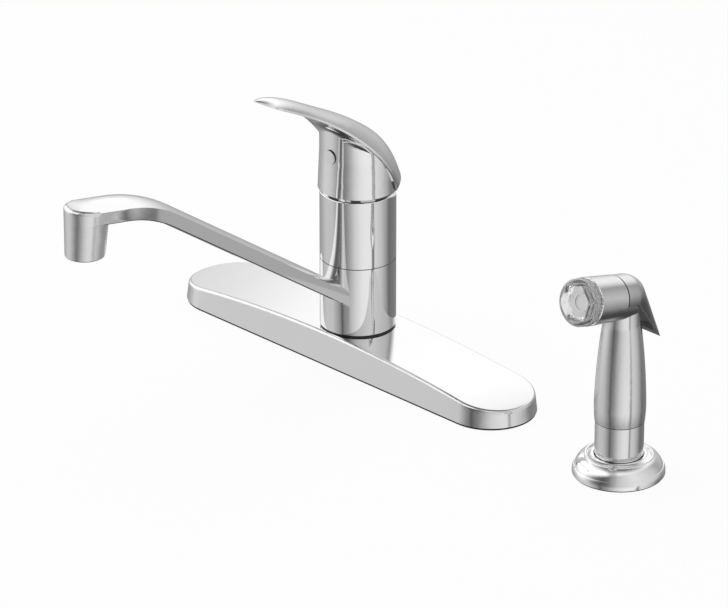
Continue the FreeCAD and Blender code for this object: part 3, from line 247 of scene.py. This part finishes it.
clearLooks = {
    "clearPlastic": {
        "deep": grey(0.90, 0.004), "pale": grey(0.99), "rough": 0.02, "spread": 0.04, "clear": 0.9,
    },
    "milkyPlastic": {
        "deep": grey(0.92, 0.004), "pale": grey(0.99), "rough": 0.06, "spread": 0.06, "clear": 0.12,
    },
}
clearWear = {"cloud": 160.0, "bending": 1.49}


def makeClear(name):
    look = clearLooks[name]
    material, sheet = newSheet(name)
    cloud = sheet.noise(clearWear["cloud"])
    sheet.finish(
        Base_Color=sheet.blend(cloud, look["deep"], look["pale"]),
        Roughness=cloud * look["spread"] + look["rough"],
        Transmission_Weight=look["clear"],
        IOR=clearWear["bending"],
    )
    return material


finishes = {name: makeChrome(name) for name in chromeLooks}
finishes.update({name: makePlain(name) for name in plainLooks})
finishes.update({name: makeClear(name) for name in clearLooks})
print("finishes made:", len(finishes))


# skins over the outer nodes and the sprayer's spring: merged copies with smooth faces and kept creases

bodyOf = {node: body for body, members in record["behaviour"]["bodies"].items() for node in members}
slotOf = {row["node"]: row["material_slot"] for row in record["subparts"]}

# the sprayer's head: an elbow on the grip, a barrel and the trigger's tail
tilt = math.radians(12.0)
fall = math.radians(23.0)
head = {
    "elbow": Vector((0.205, -0.005, 0.1034)),
    "barrel": Vector((0.0, -math.cos(tilt), math.sin(tilt))),  # towards the nozzle
    "tail": Vector((0.0, math.sin(fall), -math.cos(fall))),  # down the trigger
    "upward": Vector((0.0, math.sin(tilt), math.cos(tilt))),  # square to the barrel
    "hollow": 0.0119,  # faces this near to an axis are inside
    "recess": 0.0078,  # end faces this near to the barrel's axis are the floor of the nozzle's recess
    "facing": 0.9,  # how squarely an end face looks along the barrel
    # the seam and foot lines are painted shade: thin black bands where the gaps are shaded
    "seam": 0.0084,  # along the barrel to the trigger's front edge
    "lip": -0.0013,  # the seam's line ends here, below the barrel's middle
    "foot": 0.0313,  # height of the line at the grip's foot
    "line": 0.0005,  # width of both lines
    "slack": 0.0001,
    "front": 0.0295,  # along the barrel to the nozzle's seat
    "springFoot": 0.0024,  # up from the barrel's axis
    "springPressed": 0.67,  # share of its length when pressed
}


def nearAxes(face, names, reach):
    way = face.calc_center_median() - head["elbow"]
    for name in names:
        along = max(0.0, way.dot(head[name]))
        if (way - head[name] * along).length < reach:
            return True
    return False


# painted shade: a thin black line on the shell along the trigger's seam
def paintedSeamShade(face):
    way = face.calc_center_median() - head["elbow"]
    along = way.dot(head["barrel"]) - head["seam"]
    return -head["slack"] < along < head["line"] and way.dot(head["upward"]) > head["lip"]


# painted shade: a thin black line round the grip's foot
def paintedFootShade(face):
    return -head["slack"] < face.calc_center_median().z - head["foot"] < head["line"]


def inBarrel(face):
    return nearAxes(face, ("barrel",), head["hollow"])


# bare plastic inside the trigger, partly painted shade: its grey also darkens the seam's gap
def triggerInsideShade(face):
    return nearAxes(face, ("barrel", "tail"), head["hollow"])


def onRecessFloor(face):
    level = abs(face.normal.dot(head["barrel"])) > head["facing"]
    return level and nearAxes(face, ("barrel",), head["recess"])


# the other tests ask where a face lies and how far its normal leans to an axis
nose = {"back": -0.186, "rise": 0.8}
plate = {"rise": 0.6}
button = {"facing": 0.7}


def onNose(face):
    return face.calc_center_median().y < nose["back"] and face.normal.z < nose["rise"]


def onWall(face):
    return face.normal.z < plate["rise"]


# painted shade: the button's side is black, as if it sat in a shaded recess
def paintedButtonShade(face):
    return abs(face.normal.y) < button["facing"]


# patches are faces with a finish of their own, by the first test that fits, some of them painted shade;
# cuts are planes that part a skin, so that a thin line of painted shade can be such a patch;
# eased planes stand a hair off the piece they touch, so that clear plastic renders without specks
skins = {
    "deck_plate": {"finish": "plateChrome", "patches": (("wallChrome", onWall),)},
    "spout": {"finish": "bodyChrome", "patches": (("noseChrome", onNose),)},
    "bonnet": {"finish": "bodyChrome"},
    "lever_handle": {"finish": "leverChrome"},
    "index_button": {"finish": "leverChrome", "patches": (("blackPlasticAndShade", paintedButtonShade),)},
    "aerator_housing": {"finish": "bodyChrome"},
    "foot_ring": {"finish": "blackPlasticAndShade"},
    "head_ring": {"finish": "barePlasticAndShade"},
    "deck_gasket": {"finish": "blackRubber"},
    "spray_base_gasket": {"finish": "blackRubber"},
    "spray_base": {"finish": "baseChrome"},
    "spray_collar": {"finish": "sprayerChrome"},
    "spray_shell": {
        "finish": "sprayerChrome",
        "patches": (("blackPlasticAndShade", paintedSeamShade), ("blackPlasticAndShade", paintedFootShade), ("whitePlastic", inBarrel)),
        # these cuts part out the thin lines of painted shade
        "cuts": (
            (head["elbow"] + head["barrel"] * (head["seam"] + head["line"]), head["barrel"]),
            (Vector((0.0, 0.0, head["foot"] + head["line"])), Vector((0.0, 0.0, 1.0))),
        ),
    },
    "trigger_lever": {"finish": "triggerChrome", "patches": (("barePlasticAndShade", triggerInsideShade),)},
    "spray_nozzle": {
        "finish": "clearPlastic",
        "crease": 20.0,
        "patches": (("milkyPlastic", onRecessFloor),),
        "eased": ((head["elbow"] + head["barrel"] * head["front"], head["barrel"]),),
    },
    "plunger_spring": {
        "finish": "springSteel",
        "squash": {
            "joint": "plunger_slide",
            "axis": head["upward"],
            "anchor": head["elbow"] + head["upward"] * head["springFoot"],
            "keep": head["springPressed"],
        },
    },
}
skinWork = {"merge": 0.000001, "crease": 28.0, "onPlane": 0.00001, "ease": 0.00006}


def makeSkin(node, look):
    mesh = bpy.data.meshes.new(node + "Skin")
    form = bmesh.new()
    form.from_mesh(nodes[node].data)
    bmesh.ops.remove_doubles(form, verts=form.verts, dist=skinWork["merge"])
    for place, way in look.get("cuts", ()):
        whole = form.verts[:] + form.edges[:] + form.faces[:]
        bmesh.ops.bisect_plane(form, geom=whole, plane_co=place, plane_no=way)
    for place, way in look.get("eased", ()):
        for vert in form.verts:
            if abs((vert.co - place).dot(way)) < skinWork["onPlane"]:
                vert.co += way * skinWork["ease"]
    form.normal_update()
    patches = look.get("patches", ())
    for face in form.faces:
        face.smooth = True
        fitting = [slot for slot, (finish, test) in enumerate(patches, 1) if test(face)]
        face.material_index = fitting[0] if fitting else 0
    limit = math.radians(look.get("crease", skinWork["crease"]))
    for edge in form.edges:
        edge.smooth = edge.calc_face_angle(math.pi) < limit
    form.to_mesh(mesh)
    form.free()
    for finish in [look["finish"]] + [finish for finish, test in patches]:
        mesh.materials.append(finishes[finish])
    skin = bpy.data.objects.new(node + "Skin", mesh)
    scene.collection.objects.link(skin)
    even = skin.modifiers.new("evenNormals", "WEIGHTED_NORMAL")
    even.keep_sharp = True
    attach(skin, bodyOf[node])
    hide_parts(node)
    if "squash" in look:
        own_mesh(skin)


for node, look in skins.items():
    makeSkin(node, look)
print("skins made:", len(skins))


# the other nodes lie inside, keep their CAD shape and get a finish by slot

slotFinish = {
    "chrome": "bodyChrome",
    "brass": "turnedBrass",
    "steel": "springSteel",
    "black_rubber": "blackRubber",
    "black_plastic": "blackPlasticAndShade",
    "white_plastic": "whitePlastic",
    "white_ceramic": "lappedCeramic",
    "clear_plastic": "clearPlastic",
}

for node, piece in nodes.items():
    if node not in skins:
        piece.data.materials.clear()
        piece.data.materials.append(finishes[slotFinish[slotOf[node]]])
print("inner nodes finished:", len(nodes) - len(skins))


# floor, light and camera

floorLook = {
    "size": 12.0,
    "drop": 0.0002,
    "cloud": 3.0,
    "shade": grey(0.90),
    "pale": grey(0.94),
    "glow": 0.93,  # how far the camera sees white instead of the lit floor
}


def makeFloor():
    mesh = bpy.data.meshes.new("floor")
    form = bmesh.new()
    bmesh.ops.create_grid(form, x_segments=1, y_segments=1, size=floorLook["size"])
    bmesh.ops.translate(form, vec=(0.0, 0.0, -floorLook["drop"]), verts=form.verts)
    form.to_mesh(mesh)
    form.free()
    floor = bpy.data.objects.new("floor", mesh)
    scene.collection.objects.link(floor)
    material, sheet = newSheet("paleFloor")
    cloud = sheet.noise(floorLook["cloud"])
    tone = sheet.blend(cloud, floorLook["shade"], floorLook["pale"])
    matt = sheet.add("ShaderNodeBsdfDiffuse", {}, {"Color": tone})
    glow = sheet.add("ShaderNodeEmission", {}, {"Color": grey(1.0), "Strength": 1.0})
    seen = sheet.ray("Camera") + sheet.ray("Transmission")
    mixed = sheet.add("ShaderNodeMixShader", {}, {0: seen * floorLook["glow"], 1: matt, 2: glow})
    sheet.add("ShaderNodeOutputMaterial", {}, {"Surface": mixed})
    mesh.materials.append(material)
    floor.visible_glossy = False


makeFloor()

# the studio that the chrome mirrors, as grey levels
# ring and high go round by degrees, with 0 towards the camera and the right positive;
# the other ramps go from 0, straight down, to 1, straight up, but top from left to right
studio = {
    "front": (0.7151, -0.6990),
    "ring": (
        (-180, 0.30), (-140, 0.42), (-110, 0.64), (-82, 0.62), (-68, 0.46), (-56, 0.32), (-48, 0.11),
        (-41, 0.25), (-32, 0.33), (-21, 0.50), (-10, 0.69), (0, 0.80), (11, 0.90), (25, 0.94), (40, 0.92),
        (44, 0.20), (48, 0.20), (51, 0.76), (60, 0.72), (75, 0.60), (92, 0.38), (107, 0.17), (122, 0.20),
        (150, 0.24), (180, 0.30),
    ),
    "high": (
        (-180, 0.66), (-128, 0.62), (-112, 1.0), (-96, 0.95), (-82, 0.58), (-64, 0.20), (-46, 0.08),
        (-30, 0.15), (0, 0.60), (40, 0.80), (70, 0.70), (98, 0.60), (120, 0.38), (150, 0.55), (180, 0.66),
    ),
    "top": (
        (0.0, 1.0), (0.275, 1.0), (0.35, 0.45), (0.41, 0.45),
        (0.463, 0.74), (0.483, 0.92), (0.50, 0.97), (1.0, 0.97),
    ),
    "topStrength": 1.2,
    "middle": ((0.0, 0.0), (0.30, 0.0), (0.50, 1.0), (1.0, 1.0)),  # from ring to high
    "upper": ((0.0, 0.0), (0.72, 0.0), (0.86, 1.0), (1.0, 1.0)),  # to the top light
    "upperLean": (0.175, 0.25),  # how far that border rises to the right and to the front
    "zenith": ((0.0, 0.0), (0.88, 0.0), (0.985, 1.0), (1.0, 1.0)),  # to a dim disk overhead
    "zenithLean": 0.12,  # how far the disk leans to the back
    "zenithShade": grey(0.16),
    "lower": ((0.0, 1.0), (0.12, 1.0), (0.27, 0.0), (1.0, 0.0)),  # the dark below
    "lowerShade": grey(0.06),
    "fill": grey(0.62),  # what lights matt faces
    "backdrop": grey(1.0),  # what the camera sees
}


def toUnit(value, reach):
    # from -reach to reach becomes from 0 to 1
    return value * (0.5 / reach) + 0.5


def roundStops(stops):
    return [(toUnit(angle, 180.0), shade) for angle, shade in stops]


def makeStudio():
    world = bpy.data.worlds.new("studio")
    scene.world = world
    world.use_nodes = True
    sheet = Sheet(world.node_tree)
    way = sheet.place("Generated")
    x, y, z = [sheet.part(way, axis) for axis in "XYZ"]
    frontX, frontY = studio["front"]
    ahead = x * frontX + y * frontY
    aside = y * frontX - x * frontY
    turn = toUnit(aside.reckon("ARCTAN2", aside, ahead), math.pi)
    height = toUnit(z, 1.0)
    leanSide, leanFront = studio["upperLean"]
    leaning = height - aside * leanSide - ahead * leanFront
    overhead = height - ahead * studio["zenithLean"]
    ring = sheet.ramp(roundStops(studio["ring"]), turn)
    high = sheet.ramp(roundStops(studio["high"]), turn)
    topShare = sheet.ramp(studio["top"], toUnit(aside, 1.0))
    top = sheet.blend(topShare, grey(0.0), grey(studio["topStrength"]))
    mirrored = sheet.blend(sheet.ramp(studio["middle"], height), ring, high)
    mirrored = sheet.blend(sheet.ramp(studio["upper"], leaning), mirrored, top)
    mirrored = sheet.blend(sheet.ramp(studio["zenith"], overhead), mirrored, studio["zenithShade"])
    mirrored = sheet.blend(sheet.ramp(studio["lower"], height), mirrored, studio["lowerShade"])
    colour = sheet.blend(sheet.ray("Diffuse"), mirrored, studio["fill"])
    colour = sheet.blend(sheet.ray("Camera"), colour, studio["backdrop"])
    light = sheet.add("ShaderNodeBackground", {}, {"Color": colour, "Strength": 1.0})
    sheet.add("ShaderNodeOutputWorld", {}, {"Surface": light})


makeStudio()


def turnTowards(thing, place, aim):
    thing.location = place
    way = Vector(aim) - Vector(place)
    thing.rotation_euler = way.to_track_quat("-Z", "Y").to_euler()


lampLook = {"place": (-0.35, -0.25, 1.5), "aim": (0.05, -0.05, 0.0), "size": 1.3, "power": 9.0}


def makeLamp():
    data = bpy.data.lights.new("softLamp", "AREA")
    data.size = lampLook["size"]
    data.energy = lampLook["power"]
    lamp = bpy.data.objects.new("softLamp", data)
    scene.collection.objects.link(lamp)
    turnTowards(lamp, lampLook["place"], lampLook["aim"])
    lamp.visible_glossy = False


makeLamp()

cameraLook = {
    "place": (1.85346, -1.80695, 1.22067),
    "aim": (0.00484, 0.0, 0.03188),
    "lens": 251.52,
    "sensor": 36.0,
}


def makeCamera():
    data = bpy.data.cameras.new("view")
    data.lens = cameraLook["lens"]
    data.sensor_width = cameraLook["sensor"]
    data.sensor_fit = "HORIZONTAL"
    camera = bpy.data.objects.new("view", data)
    scene.collection.objects.link(camera)
    turnTowards(camera, cameraLook["place"], cameraLook["aim"])
    scene.camera = camera


makeCamera()
print("floor, light and camera set")
